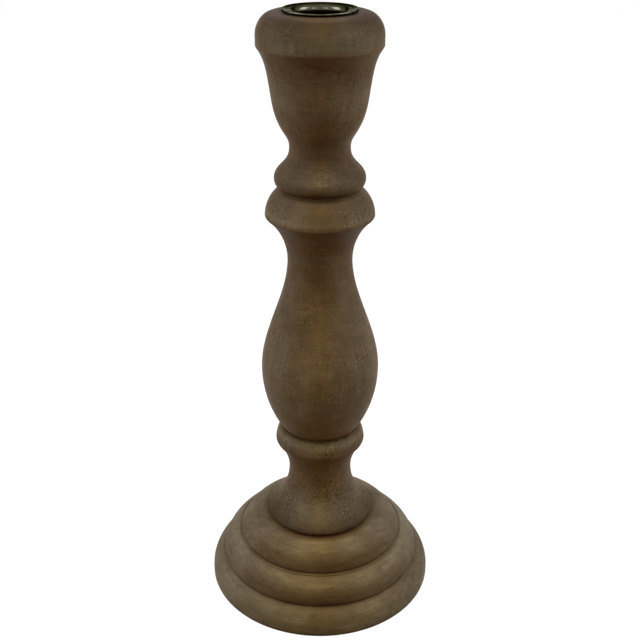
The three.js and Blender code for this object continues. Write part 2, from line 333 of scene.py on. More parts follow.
class CandleHolderSettings(PropertyGroup):
    """All the settings of the candle holder."""

    lathe: PointerProperty(type=LatheSettings)
    base: PointerProperty(type=BaseSizes)
    pedestal: PointerProperty(type=PedestalSizes)
    vase: PointerProperty(type=VaseSizes)
    cup: PointerProperty(type=CupSizes)
    brass: PointerProperty(type=BrassSizes)
    felt: PointerProperty(type=FeltSizes)
    wood: PointerProperty(type=WoodFinish)
    metal: PointerProperty(type=MetalFinish)
    soft: PointerProperty(type=SoftFinish)
    stage: PointerProperty(type=StageSettings)


# Outlines


class Outline:
    """Half section of a turned piece: (radius, height) points, up its outside, in metres."""

    coarser = 4  # a straight stretch has steps this many times as long as a curve's
    fewest_arc_steps = 3
    fewest_bend_steps = 6
    most_turned = math.radians(7)  # in one step of an arc
    corner = math.radians(12)  # the least turn that counts as an arris
    corner_points = 5  # round an arris, with the middle one halfway
    corner_share = 0.45  # the most of a step that an arris may take up

    def __init__(self, radius, height):
        self.stretches = [np.array([[radius, height]])]
        self.step = chosen().lathe.arc_step

    def towards(self, radius, height):
        """The last point, the next one and the distance between them."""
        start, end = self.stretches[-1][-1], np.array([radius, height])
        return start, end, np.linalg.norm(end - start)

    def line(self, *stops):
        """Straight from stop to stop, in steps short enough for marks to show."""
        for stop in stops:
            start, end, distance = self.towards(*stop)
            steps = max(1, math.ceil(distance / (self.coarser * self.step)))
            along = np.linspace(0, 1, steps + 1)[1:, None]
            self.stretches.append(start + along * (end - start))

    def arc(self, radius, height, turned):
        """Part of a circle to the next point; a hollow has a negative turn.

        The centre stands off the middle of the chord by half the chord over the tangent of
        half the turn, and the start's spoke is then swung about it.
        """
        start, end, _ = self.towards(radius, height)
        chord = end - start
        centre = (start + end) / 2 + np.array([-chord[1], chord[0]]) / (2 * math.tan(turned / 2))
        spoke = start - centre
        by_length = math.ceil(abs(turned) * np.linalg.norm(spoke) / self.step)
        by_turn = math.ceil(abs(turned) / self.most_turned)
        steps = max(self.fewest_arc_steps, by_length, by_turn)
        swing = np.linspace(0, turned, steps + 1)[1:, None]
        swung = spoke * np.cos(swing) + np.array([-spoke[1], spoke[0]]) * np.sin(swing)
        self.stretches.append(centre + swung)

    def bend(self, radius, height, leaving, arriving):
        """A cubic curve to the next point.

        Each end is (share, lean): it leans from upright by that angle and pulls the curve along
        for that share of the straight distance.
        """
        start, end, distance = self.towards(radius, height)
        (out, out_lean), (home, home_lean) = leaving, arriving
        first = start + distance * out * np.array([math.sin(out_lean), math.cos(out_lean)])
        second = end - distance * home * np.array([math.sin(home_lean), math.cos(home_lean)])
        steps = max(self.fewest_bend_steps, math.ceil(distance / self.step))
        t = np.linspace(0, 1, steps + 1)[1:, None]
        self.stretches.append(
            (1 - t) ** 3 * start + 3 * (1 - t) ** 2 * t * first
            + 3 * (1 - t) * t**2 * second + t**3 * end
        )

    def points(self, ease=0.0):
        """All points, with each arris rounded.

        An arris becomes a short parabola that starts and ends up to the ease away from it, and
        every other point stays as it is.
        """
        p = np.concatenate(self.stretches)
        before, after = np.roll(p, 1, axis=0), np.roll(p, -1, axis=0)
        before[0], after[-1] = p[0], p[-1]
        into, away = p - before, after - p
        reach_in = np.linalg.norm(into, axis=1, keepdims=True)
        reach_out = np.linalg.norm(away, axis=1, keepdims=True)
        into = into / np.maximum(reach_in, TINY)
        away = away / np.maximum(reach_out, TINY)
        arris = (into * away).sum(1) < math.cos(self.corner)
        arris[0] = arris[-1] = False
        cut = np.minimum(ease, self.corner_share * np.minimum(reach_in, reach_out))
        cut = cut * arris[:, None]
        t = np.linspace(0, 1, self.corner_points)[:, None, None]
        eased = (1 - t) ** 2 * (p - cut * into) + 2 * t * (1 - t) * p + t**2 * (p + cut * away)
        keep = arris[None, :] | (t[:, :, 0] == 0.5)
        return eased.transpose(1, 0, 2)[keep.T]


WAVE_SHIFT = 0.3  # the most that a wave strays, as a share of the pitch


def smooth_random(places, pitch, seed):
    """Smooth random waves from 0 to 1 of about that pitch, at each place along a line."""
    random = np.random.default_rng(seed)
    knots = np.arange(0, places.max() + 2 * pitch, pitch)
    knots = knots + random.uniform(-WAVE_SHIFT, WAVE_SHIFT, len(knots)) * pitch
    level = random.random(len(knots))
    index = np.clip(np.searchsorted(knots, places) - 1, 0, len(knots) - 2)
    t = np.clip((places - knots[index]) / (knots[index + 1] - knots[index]), 0, 1)
    t = t * t * (3 - 2 * t)
    return level[index] * (1 - t) + level[index + 1] * t


def blurred(values, places, width):
    """A bell-shaped blur of values that stand at uneven places along a line."""
    gap = (places[:, None] - places[None, :]) / width
    weight = np.exp(-0.5 * gap**2) * np.gradient(places)[None, :].clip(TINY)
    return weight @ values / weight.sum(1)


def outline_facts(points):
    """Place along the outline, outward normal, and the bend per metre (positive on a swell)."""
    steps = np.linalg.norm(np.diff(points, axis=0), axis=1)
    along = np.concatenate([[0], np.cumsum(np.maximum(steps, TINY))])
    tangent = np.stack([np.gradient(points[:, k], along) for k in (0, 1)], axis=1)
    tangent /= np.maximum(np.linalg.norm(tangent, axis=1, keepdims=True), TINY)
    normal = np.stack([tangent[:, 1], -tangent[:, 0]], axis=1)
    heading = np.unwrap(np.arctan2(tangent[:, 1], tangent[:, 0]))
    return along, normal, np.gradient(heading, along)


# Swept pieces


def linked(name, data):
    """A new object in the scene for a mesh, a lamp or a camera."""
    made = bpy.data.objects.new(name, data)
    bpy.context.scene.collection.objects.link(made)
    return made


def put_on(piece, material):
    piece.data.materials.clear()
    piece.data.materials.append(material)


def seated(piece, body, node):
    """Puts a finished piece on its body in place of its CAD node."""
    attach(piece, body)
    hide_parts(node)


SHARP_EDGE = math.radians(38)  # the least angle that is shaded as an edge


def revolve(name, points, attributes=None, closed=False):
    """Sweeps an outline round Z and gives the object.

    Point (i, j) is (radius_i cos angle_j, radius_i sin angle_j, height_i). A closed outline joins
    its end to its start; any other starts and ends on the axis, where one point is the pole.
    """
    segments = chosen().lathe.segments
    ring = points if closed else points[1:-1]
    angle = np.arange(segments) * (2 * math.pi / segments)
    spokes = np.stack([np.cos(angle), np.sin(angle), np.ones(segments)], axis=1)
    grid = (ring[:, None, (0, 0, 1)] * spokes).reshape(-1, 3)
    here = np.arange(len(grid)).reshape(-1, segments)
    if closed:
        here = np.concatenate([here, here[:1]])
    there = np.roll(here, -1, axis=1)
    corners = [here[:-1], there[:-1], there[1:], here[1:]]
    faces = np.stack(corners, axis=-1).reshape(-1, 4).tolist()
    if not closed:
        foot, top = np.full(segments, len(grid)), np.full(segments, len(grid) + 1)
        faces += np.stack([foot, there[0], here[0]], axis=1).tolist()
        faces += np.stack([here[-1], there[-1], top], axis=1).tolist()
        grid = np.concatenate([grid, [[0, 0, points[0, 1]], [0, 0, points[-1, 1]]]])
    mesh = bpy.data.meshes.new(name)
    mesh.from_pydata(grid.tolist(), [], faces)
    for key, values in (attributes or {}).items():
        spread = np.repeat(values if closed else values[1:-1], segments)
        if not closed:
            spread = np.append(spread, values[[0, -1]])
        layer = mesh.attributes.new(key, "FLOAT", "POINT")
        layer.data.foreach_set("value", spread.astype(np.float32))
    mesh.shade_smooth()
    mesh.set_sharp_from_angle(angle=SHARP_EDGE)
    mesh.update()
    return linked(name, mesh)


class Pool(NamedTuple):
    """Stain and painted shade deepest at a height, thinning over the spread; negative coats paint
    light.
    """

    height: float
    spread: float
    coats: float
    hollow: float = 0.0


class Band(NamedTuple):
    """Stain and painted shade that start at a joint, at (radius, height), and fade over the rise.

    The rise goes on along the outline, or back where it is negative.
    """

    radius: float
    height: float
    rise: float
    coats: float
    hollow: float = 0.0


class Look(NamedTuple):
    """How one turned piece takes its stain, painted shade and painted light."""

    seed: int  # of the tool marks
    coats: float  # all over the piece
    pith: tuple  # shift of the grain's centre
    lean: tuple  # turn of the fibres
    rings: float  # more coats in the growth rings
    streaks: float  # strength of the smudges and fine streaks round the piece
    # The next value shifts where the painted sheen at the sides begins.
    gold: float  # how much further round the golden wood reaches
    flecks: float  # strength of the light and dark flecks
    # Strength of the painted red shade in hollows and undersides, strongest at the front.
    shade_ruddy: float  # how red the hollows are
    # Painted light and shade: fewer coats at the front paint a highlight, more at the sides paint
    # shade.
    painted_light_coats: tuple  # more coats on the open wood, at the (front, side)
    # Painted shade: more coats in the hollows and on undersides, at the (front, side).
    painted_shade_coats: tuple  # more coats in the hollows, at the (front, side)


ARRIS_BLUR = 0.5 * MM
ARRIS_BEND = 900.0  # bend per metre of a full arris
# Painted shade on undersides and hollows: its blur along the outline, and how far an underside
# faces down for full shade.
HOLLOW_BLUR = 1.5 * MM
HOLLOW_LEAN = 0.4  # how far a full underside faces down
SEAM_REACH = 0.7 * MM
FADE_SHARE = 0.8  # share of a band's rise that it fades over
JOINT_SLACK = 1e-6  # share of the rise before a joint that still counts as the joint


def turned_wood(part, outline, look, pools, bands, closed=False):
    """Turns and stains a wooden part whose outline has its zero height at the part's foot.

    The gouge leaves shallow waves along it. Its attributes are the place along the outline, how
    near an arris and a joint are, how hollow the place is, which sets painted shade, and how many
    coats of stain lie there, with painted shade and highlights among them. Undersides count as
    hollow. The pools and bands come on top of the look's own coats.
    """
    node = f"{part}_turning"
    lathe = chosen().lathe
    points = outline.points(lathe.edge_ease)
    radius, height = points.T
    along, normal, bend = outline_facts(points)
    waves = smooth_random(along, lathe.mark_pitch, look.seed)
    depth = lathe.mark_depth * waves * (radius > lathe.marks_from)
    marked = points - normal * depth[:, None]
    marked[:, 0] = np.where(radius < TINY, 0, marked[:, 0].clip(0))
    marked[:, 1] += foot_of(node)
    # Coats of stain, with the pools and bands painting shade and highlights on top.
    stain = np.full(len(points), look.coats)
    # Painted shade: the more a place faces down, the more painted shade it gets.
    hollow = np.clip(blurred(-normal[:, 1], along, HOLLOW_BLUR) / HOLLOW_LEAN, 0, 1)
    nearest = np.full(len(points), np.inf)
    for pool in pools:
        bell = np.exp(-(((height - pool.height) / pool.spread) ** 2))
        stain += pool.coats * bell
        hollow = np.maximum(hollow, pool.hollow * bell)
    for band in bands:
        away = np.hypot(radius - band.radius, height - band.height)
        nearest = np.minimum(nearest, away)
        past = (along - along[away.argmin()]) / band.rise
        fade = np.clip((1 - past) / FADE_SHARE, 0, 1)
        left = fade * fade * (3 - 2 * fade) * (past > -JOINT_SLACK)
        stain += band.coats * left
        hollow = np.maximum(hollow, band.hollow * left)
    # The stain attribute carries painted shade and highlights as well as stain; the hollow
    # attribute sets painted shade.
    facts = {
        "along": along,
        "arris": np.clip(blurred(bend.clip(0), along, ARRIS_BLUR) / ARRIS_BEND, 0, 1),
        "stain": stain,
        "hollow": hollow,
        "seam": np.exp(-nearest / SEAM_REACH),
    }
    made = revolve(f"turned_{part}", marked, facts, closed)
    put_on(made, new_material(f"stained_{part}", stained_wood, look))
    seated(made, STAND, node)


# Shader nodes


class Net:
    """A node tree, with a method for each kind of node; most give the node's output."""

    def __init__(self, tree):
        self.tree = tree

    def add(self, kind, inputs=None, **settings):
        """Adds a node with its own settings, and links or sets each of its inputs."""
        node = self.tree.nodes.new(kind)
        for key, value in settings.items():
            setattr(node, key, value)
        for key, value in (inputs or {}).items():
            if isinstance(value, NodeSocket):
                self.tree.links.new(value, node.inputs[key])
            else:
                node.inputs[key].default_value = value
        return node

    def math(self, operation, *values, clamp=False):
        settings = {"operation": operation, "use_clamp": clamp}
        return self.add("ShaderNodeMath", dict(enumerate(values)), **settings).outputs[0]

    def vector(self, operation, *values):
        """Works on whole vectors, and gives a number where it measures a length."""
        node = self.add("ShaderNodeVectorMath", dict(enumerate(values)), operation=operation)
        return node.outputs["Value" if operation == "LENGTH" else "Vector"]

    def part(self, vector, axis):
        return self.add("ShaderNodeSeparateXYZ", {0: vector}).outputs[axis]

    def blend(self, factor, first, second):
        """A number between two others."""
        inputs = {0: factor, 2: first, 3: second}
        return self.add("ShaderNodeMix", inputs, data_type="FLOAT").outputs[0]

    def mix(self, factor, first, second, blend="MIX"):
        """Mixes two colours, each a socket or (red, green, blue)."""
        first, second = (
            tone if isinstance(tone, NodeSocket) else (*tone, 1.0) for tone in (first, second)
        )
        inputs = {0: factor, 6: first, 7: second}
        return self.add("ShaderNodeMix", inputs, data_type="RGBA", blend_type=blend).outputs[2]

    def noise(self, place, scale, detail=2.0, roughness=0.5, distortion=0.0, output="Fac"):
        inputs = {
            "Vector": place,
            "Scale": scale,
            "Detail": detail,
            "Roughness": roughness,
            "Distortion": distortion,
        }
        return self.add("ShaderNodeTexNoise", inputs).outputs[output]

    def remap(self, value, low, high, to_low=0.0, to_high=1.0, smooth=False):
        """Carries low to to_low and high to to_high, and holds what lies beyond."""
        inputs = {0: value, 1: low, 2: high, 3: to_low, 4: to_high}
        kind = "SMOOTHSTEP" if smooth else "LINEAR"
        return self.add("ShaderNodeMapRange", inputs, interpolation_type=kind).outputs[0]

    def place(self):
        return self.add("ShaderNodeTexCoord").outputs["Object"]

    def moved(self, place, shift, lean):
        inputs = {"Vector": place, "Location": shift, "Rotation": lean}
        return self.add("ShaderNodeMapping", inputs, vector_type="POINT").outputs[0]

    def attribute(self, name):
        return self.add("ShaderNodeAttribute", attribute_name=name).outputs["Fac"]

    def bump(self, height, strength, distance):
        inputs = {"Height": height, "Strength": strength, "Distance": distance}
        return self.add("ShaderNodeBump", inputs).outputs["Normal"]

    def group(self, build, inputs):
        """The outputs of a shared group, which is built the first time it is placed."""
        shared = bpy.data.node_groups.get(build.__name__) or new_group(build)
        return self.add("ShaderNodeGroup", inputs, node_tree=shared).outputs


# Every input of a group is a plain number with a default, apart from the vector that each has
GROUP_INPUTS = {
    "wood_grain": {"Ring Spacing": 3 * MM, "Waviness": 4 * MM},
    "lathe_marks": {"Along": 0.0, "Pitch": MM},
    "edge_wear": {"Edge": 0.0, "Scale": 160.0, "Amount": 1.0},
}


def new_group(build):
    """A group with the name of the function, which finds its outputs from its inputs."""
    net = Net(bpy.data.node_groups.new(build.__name__, "ShaderNodeTree"))
    sockets = net.tree.interface
    sockets.new_socket("Vector", in_out="INPUT", socket_type="NodeSocketVector")
    for key, default in GROUP_INPUTS[build.__name__].items():
        socket = sockets.new_socket(key, in_out="INPUT", socket_type="NodeSocketFloat")
        socket.default_value = default
    found = build(net, net.add("NodeGroupInput").outputs)
    for key in found:
        sockets.new_socket(key, in_out="OUTPUT", socket_type="NodeSocketFloat")
    net.add("NodeGroupOutput", found)
    return net.tree


def wood_grain(net, given):
    """Growth rings, fibres, pores and slow mottling of wood whose fibres run along Z.

    The pith is the Z axis of the vector that comes in. Rings are a rounded saw-tooth of the
    distance from it, and fibres and pores are noise drawn out along it.
    """

    def drawn_out(squeeze):
        """The place with its height cut to that share, which draws a pattern out upwards."""
        return net.vector("MULTIPLY", given["Vector"], (1.0, 1.0, squeeze))

    sway = net.noise(drawn_out(0.25), 34.0, output="Color")
    centred = net.vector("SUBTRACT", sway, (0.5, 0.5, 0.5))
    swayed = net.vector("MULTIPLY_ADD", centred, given["Waviness"], given["Vector"])
    from_pith = net.vector("LENGTH", net.vector("MULTIPLY", swayed, (1.0, 1.0, 0.0)))
    saw = net.math("FRACT", net.math("DIVIDE", from_pith, given["Ring Spacing"]))
    rise = net.math("POWER", saw, 5.0)
    fall = net.remap(saw, 1.0, 0.93, smooth=True)
    dashes = net.noise(drawn_out(0.11), 1500.0, roughness=0.55)
    return {
        "Rings": net.math("MULTIPLY", rise, fall),
        "Fibres": net.noise(drawn_out(0.06), 380.0, detail=4.0, roughness=0.6),
        "Pores": net.remap(dashes, 0.6, 0.72, smooth=True),
        "Mottle": net.noise(drawn_out(0.5), 52.0, detail=3.0, roughness=0.55, distortion=0.4),
    }


def lathe_marks(net, given):
    """Smudges and fine streaks that run round a turned piece: noise drawn out across it."""
    level = net.math("DIVIDE", given["Along"], given["Pitch"])
    lifted = net.add("ShaderNodeCombineXYZ", {"Z": level}).outputs[0]

    def streaks(across, up, detail=2.0):
        """Noise with that many waves in a metre across and in a pitch along the outline."""
        flat = net.vector("MULTIPLY", given["Vector"], (across, across, 0.0))
        raised = net.vector("MULTIPLY", lifted, (0.0, 0.0, up))
        return net.noise(net.vector("ADD", flat, raised), 1.0, detail, roughness=0.6)

    return {
        "Marks": streaks(96.0, 0.6, detail=3.0),
        "Lines": net.remap(streaks(75.0, 1.9), 0.56, 0.7, smooth=True),
        "Scores": net.remap(streaks(190.0, 2.2), 0.6, 0.68, smooth=True),
    }


def edge_wear(net, given):
    """Where an edge is rubbed: the arris mask broken up by noise."""
    cloud = net.noise(given["Vector"], given["Scale"], detail=4.0, roughness=0.6)
    rubbed = net.math("MULTIPLY", given["Edge"], net.remap(cloud, 0.35, 0.65))
    return {"Mask": net.math("MULTIPLY", rubbed, given["Amount"], clamp=True)}


# Materials


def empty_net(owner):
    """The node tree of a material or a world, with nothing in it."""
    owner.use_nodes = True
    owner.node_tree.nodes.clear()
    return Net(owner.node_tree)


def new_material(name, finish, *given):
    """A material whose Principled shader takes the inputs that the finish function finds."""
    material = bpy.data.materials.new(name)
    net = empty_net(material)
    shader = net.add("ShaderNodeBsdfPrincipled", finish(net, *given))
    net.add("ShaderNodeOutputMaterial", {"Surface": shader.outputs[0]})
    return material


def wood_tone(net, look, grain, marks, aside):
    """Golden wood in front and behind, painted grey sheen at the sides, painted red shade in
    hollows.

    The fibres and the smudges round the piece lighten and darken it.
    """
    wood = chosen().wood
    wander = net.math("MULTIPLY_ADD", grain["Mottle"], 0.5, aside)
    # Painted sheen: the side colour takes over as the place faces aside.
    side_sheen_share = net.remap(wander, 0.2 + look.gold, 1.1 + look.gold)
    # Painted shade: hollows and undersides turn redder, most of all at the front.
    front_redness = net.remap(wander, 1.05, 0.35, 0.55 * look.shade_ruddy, look.shade_ruddy)
    red = net.math("MULTIPLY", net.attribute("hollow"), front_redness)
    tone = net.mix(side_sheen_share, wood.golden, wood.side_sheen)
    tone = net.mix(red, tone, wood.shade_russet, "MULTIPLY")
    fibre = net.remap(grain["Fibres"], 0.3, 0.7, 0.9, 1.1)
    smudge = net.remap(marks["Marks"], 0.3, 0.7, 1 - 0.2 * look.streaks, 1 + 0.16 * look.streaks)
    shade = net.math("MULTIPLY", fibre, smudge)
    shade = net.math("MULTIPLY_ADD", marks["Lines"], 0.4 * look.streaks, shade)
    return net.vector("MULTIPLY", tone, shade)


def stain_and_shade_coats(net, look, place, grain, marks, aside):
    """How many coats of stain lie at a place.

    They are the turned piece's own, with its painted shade and highlights, then painted light on
    the open wood and painted shade in the hollow wood, set by how far the place faces aside, and
    then as
    many as each mask and its coats say: rings in patches, pores, scores, joints, flecks and
    blotches.
    """
    seam = chosen().wood.seam_coats
    hollow = net.attribute("hollow")
    lit_coats = net.remap(aside, 0.0, 0.9, *look.painted_light_coats)
    shaded_coats = net.remap(aside, 0.0, 0.9, *look.painted_shade_coats)
    # The stain attribute also carries painted shade and highlights; the blend adds painted light
    # on open wood and painted shade in hollows.
    coats = net.math("ADD", net.attribute("stain"), net.blend(hollow, lit_coats, shaded_coats))
    patch = net.noise(place, 55.0, detail=1.0)
    dots = net.noise(place, 950.0, roughness=0.6)
    flecks = net.math("SUBTRACT", net.remap(dots, 0.55, 0.68), net.remap(dots, 0.42, 0.3))
    cloud = net.noise(place, 60.0, detail=3.0, roughness=0.55)
    blotch = net.remap(cloud, 0.35, 0.65, -0.15, 0.17)
    layers = (
        (grain["Rings"], net.remap(patch, 0.42, 0.6, 0.0, look.rings, smooth=True)),
        (grain["Pores"], 0.11),
        (marks["Scores"], 0.22),
        # A dark joint with painted shade: deepest at the front and fading to the sides.
        (net.attribute("seam"), net.remap(aside, 0.35, 0.95, seam, 0.3 * seam)),
        (flecks, net.remap(patch, 0.45, 0.6, 0.3 * look.flecks, look.flecks)),
        (blotch, 1.0),
    )
    for mask, more in layers:
        coats = net.math("MULTIPLY_ADD", mask, more, coats)
    return coats


RUBBED_SHADE = 0.8  # how bright rubbed wood is beside fresh golden wood
ROUGHNESS_SWING = 0.07  # how far the roughness strays to either side


def stained_wood(net, look):
    """Turned wood under a thin brown stain.

    Each coat of stain lets the coat's colour through, so the colour seen is the wood's times the
    coat's to the power of the coats; the coats also paint shade, and fewer coats paint highlights.
    Rubbed arrises show the golden wood.
    """
    wood = chosen().wood
    place = net.place()
    grain = net.group(wood_grain, {"Vector": net.moved(place, look.pith, look.lean)})
    runs = {"Along": net.attribute("along"), "Pitch": chosen().lathe.mark_pitch}
    marks = net.group(lathe_marks, {"Vector": place, **runs})
    rubs = {"Edge": net.attribute("arris"), "Amount": wood.wear}
    wear = net.group(edge_wear, {"Vector": place, **rubs})
    # How far the place faces aside from the front, which places the painted sheen, light and
    # shade.
    outward = net.vector("NORMALIZE", net.vector("MULTIPLY", place, (1.0, 1.0, 0.0)))
    aside = net.math("ABSOLUTE", net.part(outward, "X"))
    tone = wood_tone(net, look, grain, marks, aside)
    coats = stain_and_shade_coats(net, look, place, grain, marks, aside)
    through = net.add("ShaderNodeGamma", {"Color": (*wood.coat, 1.0), "Gamma": coats})
    stained = net.mix(1.0, tone, through.outputs[0], "MULTIPLY")
    relief = net.math("MULTIPLY_ADD", grain["Fibres"], 0.6, marks["Marks"])
    relief = net.math("MULTIPLY_ADD", grain["Pores"], -0.8, relief)
    rubbed = [RUBBED_SHADE * channel for channel in wood.golden]
    smoothest, roughest = wood.roughness - ROUGHNESS_SWING, wood.roughness + ROUGHNESS_SWING
    return {
        "Base Color": net.mix(wear["Mask"], stained, rubbed),
        "Roughness": net.remap(grain["Mottle"], 0.3, 0.7, smoothest, roughest),
        "Normal": net.bump(relief, 0.35, 0.1 * MM),
        "Specular IOR Level": wood.gloss,
    }


def aged_brass(net):
    """Pressed brass with an olive patina, dark tarnish down the cup and a rubbed lip."""
    metal = chosen().metal
    place = net.place()
    cloud = net.noise(place, 320.0, detail=4.0, roughness=0.6)
    bright, dark = top_of("brass_candle_cup") - 2 * MM, foot_of("brass_candle_cup") + 12 * MM
    deep = net.remap(net.part(place, "Z"), bright, dark)
    dull = net.math("MULTIPLY_ADD", net.remap(cloud, 0.42, 0.62), 0.35, deep, clamp=True)
    tone = net.mix(dull, metal.brass, metal.tarnish)
    rubs = {"Edge": net.attribute("arris"), "Scale": 400.0}
    wear = net.group(edge_wear, {"Vector": place, **rubs})
    return {
        "Base Color": net.mix(wear["Mask"], tone, metal.rubbed),
        "Roughness": net.remap(cloud, 0.3, 0.7, 0.1, 0.22),
        "Normal": net.bump(cloud, 0.15, 0.2 * MM),
        "Metallic": 1.0,
        "Specular Tint": (*metal.brass_edge, 1.0),
    }


def pressed_felt(net):
    """Dense felt: short tangled fibres in two tones with a fuzzy relief."""
    soft = chosen().soft
    place = net.place()
    tangle = net.noise(place, 1400.0, detail=5.0, roughness=0.7, distortion=1.5)
    strands = net.math("MULTIPLY", tangle, 0.8)
    mixed = net.math("MULTIPLY_ADD", net.noise(place, 120.0), 0.4, strands)
    return {
        "Base Color": net.mix(net.remap(mixed, 0.45, 0.75), soft.felt, soft.felt_fleck),
        "Normal": net.bump(tangle, 0.8, 0.3 * MM),
        "Roughness": 1.0,
        "Sheen Weight": 0.15,
    }


def bare_dowel(net):
    """Pale hardwood with its own straight grain."""
    soft = chosen().soft
    place = net.moved(net.place(), (0.004, 0.03, 0.0), (0.03, 0.02, 0.0))
    grain = net.group(wood_grain, {"Vector": place, "Ring Spacing": 1.7 * MM})
    lines = net.math("MULTIPLY_ADD", grain["Fibres"], 0.5, grain["Rings"])
    return {
        "Base Color": net.mix(net.remap(lines, 0.2, 1.2), soft.dowel, soft.dowel_line),
        "Normal": net.bump(grain["Fibres"], 0.3, 0.1 * MM),
        "Roughness": 0.75,
    }


BLOTCH_SHADE = 0.6  # how bright a blotch is beside clean steel


def plated_steel(net):
    """Zinc-plated steel with faint blotches."""
    steel = chosen().metal.steel
    cloud = net.noise(net.place(), 500.0, detail=3.0)
    return {
        "Base Color": net.mix(cloud, steel, [BLOTCH_SHADE * channel for channel in steel]),
        "Roughness": net.remap(cloud, 0.3, 0.7, 0.28, 0.5),
        "Metallic": 1.0,
    }


# Operators, one for each piece


def dowel_bore(node):
    """(radius, depth) of the hole that takes half of that dowel."""
    lathe = chosen().lathe
    return radius_of(node) + lathe.bore_clearance, height_of(node) / 2 + lathe.bore_spare


def screw_bore():
    """Radius of the hole that takes the screw's shank."""
    return chosen().base.screw_radius + chosen().lathe.bore_clearance


class CANDLE_OT_base(Operator):
    """Turn the stepped base"""

    bl_idname = "candle.base"
    bl_label = "Stepped base"

    def execute(self, context):
        """Outline: felt recess, bottom edge, three quarter rounds, then the screw's bore."""
        size = chosen().base
        foot = chosen().pedestal.foot_radius
        height = height_of("base_turning")
        head_seat = foot_of("base_screw") + size.screw_head - foot_of("base_turning")
        shank = screw_bore()
        recess = chosen().felt.radius + size.recess_clearance
        middle_top = size.lower_height + size.middle_height
        ledge = size.upper_radius + size.ledge_width
        outline = Outline(size.counterbore_radius, size.recess_depth)
        outline.line(
            (recess, size.recess_depth),
            (recess, 0),
            (size.lower_radius - size.bevel, 0),
            (size.lower_radius, size.bevel),
            (size.lower_radius, size.band_height),
        )
        outline.arc(size.middle_radius, size.lower_height, size.ring_turn)
        outline.arc(ledge, middle_top - size.ledge_drop, size.ring_turn)
        outline.line((ledge, middle_top), (size.upper_radius, middle_top))
        outline.arc(foot, height, size.upper_turn)
        outline.line((shank, height), (shank, head_seat), (size.counterbore_radius, head_seat))
        # Painted shade: the foot's shadow on the upper ring; painted highlight: the lighter band
        # just below the upper ring's crease.
        pools = (
            Pool(height - 8 * MM, 5 * MM, coats=0.02, hollow=0.9),
            Pool(middle_top - 2 * MM, 3 * MM, coats=-0.16),
        )
        # Painted shade up each ring's wall above its crease and round the foot; darker along the
        # bottom edge.
        bands = (
            Band(size.lower_radius, 0, 1.5 * MM, coats=0.3),
            Band(size.middle_radius, size.lower_height, 12 * MM, coats=0.3, hollow=1.0),
            Band(size.upper_radius, middle_top, 10.5 * MM, coats=0.33, hollow=1.0),
            Band(foot, height, -5 * MM, coats=0.3, hollow=1.0),
        )
        look = Look(
            seed=11, coats=0.08, pith=(0.0, 0.03, 0.09), lean=(0.0, math.radians(88), 0.0),
            rings=0.25, streaks=0.6, gold=0.12, flecks=0.15,
            shade_ruddy=0.15, painted_light_coats=(-0.03, 0.07), painted_shade_coats=(0.42, 0.0),
        )
        turned_wood("base", outline, look, pools, bands, closed=True)
        put_on(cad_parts["base_screw"], new_material("plated_steel", plated_steel))
        return {"FINISHED"}


class CANDLE_OT_pedestal(Operator):
    """Turn the pedestal"""

    bl_idname = "candle.pedestal"
    bl_label = "Pedestal"

    def execute(self, context):
        """Outline: bell foot, neck, hollow and collar, round the bores of screw and dowel."""
        size = chosen().pedestal
        height = height_of("pedestal_turning")
        neck = size.toe_height + size.foot_height
        underside = neck + size.collar_neck_height
        arris = underside + size.arris_height
        shoulder = arris + size.collar_height
        bore, depth = dowel_bore("pedestal_vase_dowel")
        pilot = top_of("base_screw") - foot_of("pedestal_turning") + chosen().lathe.bore_spare
        outline = Outline(0, pilot)
        outline.line(
            (screw_bore(), pilot),
            (screw_bore(), 0),
            (size.foot_seat_radius, 0),
            (size.foot_radius, size.toe_height),
        )
        outline.bend(size.neck_radius, neck, (size.foot_swell, 0), (size.foot_cove, 0))
        outline.arc(size.underside_radius, underside, -size.underside_turn)
        outline.arc(size.collar_radius, arris, size.underside_turn)
        outline.arc(size.fillet_radius + size.collar_ledge, shoulder, size.collar_turn)
        outline.line((size.fillet_radius, shoulder), (size.fillet_radius, height))
        outline.line((bore, height), (bore, height - depth), (0, height - depth))
        # Painted shade at the toe, in the neck, on the collar and on the fillet's top; a lighter
        # band on the foot and a painted highlight across the collar.
        pools = (
            Pool(3 * MM, 5 * MM, coats=0.5),
            Pool(12 * MM, 4 * MM, coats=-0.1),
            Pool(30 * MM, 12 * MM, coats=0.03, hollow=0.75),
            Pool(arris + 0.5 * MM, 3 * MM, coats=0.2, hollow=0.4),
            Pool(arris + 5 * MM, 2 * MM, coats=-0.32, hollow=0.15),
            Pool(height, 1 * MM, coats=0.4),
        )
        # Dark joints, with painted shade beside them.
        bands = (
            Band(size.foot_seat_radius, 0, 3 * MM, coats=0.2, hollow=0.2),
            Band(size.fillet_radius, height, -2 * MM, coats=0.2, hollow=0.2),
        )
        look = Look(
            seed=23, coats=0.2, pith=(0.004, 0.05, 0.0), lean=(0.05, 0.03, 0.0),
            rings=0.1, streaks=0.4, gold=-0.1, flecks=0.7,
            shade_ruddy=1.0, painted_light_coats=(-0.14, 0.32), painted_shade_coats=(0.2, 0.2),
        )
        turned_wood("pedestal", outline, look, pools, bands)
        return {"FINISHED"}


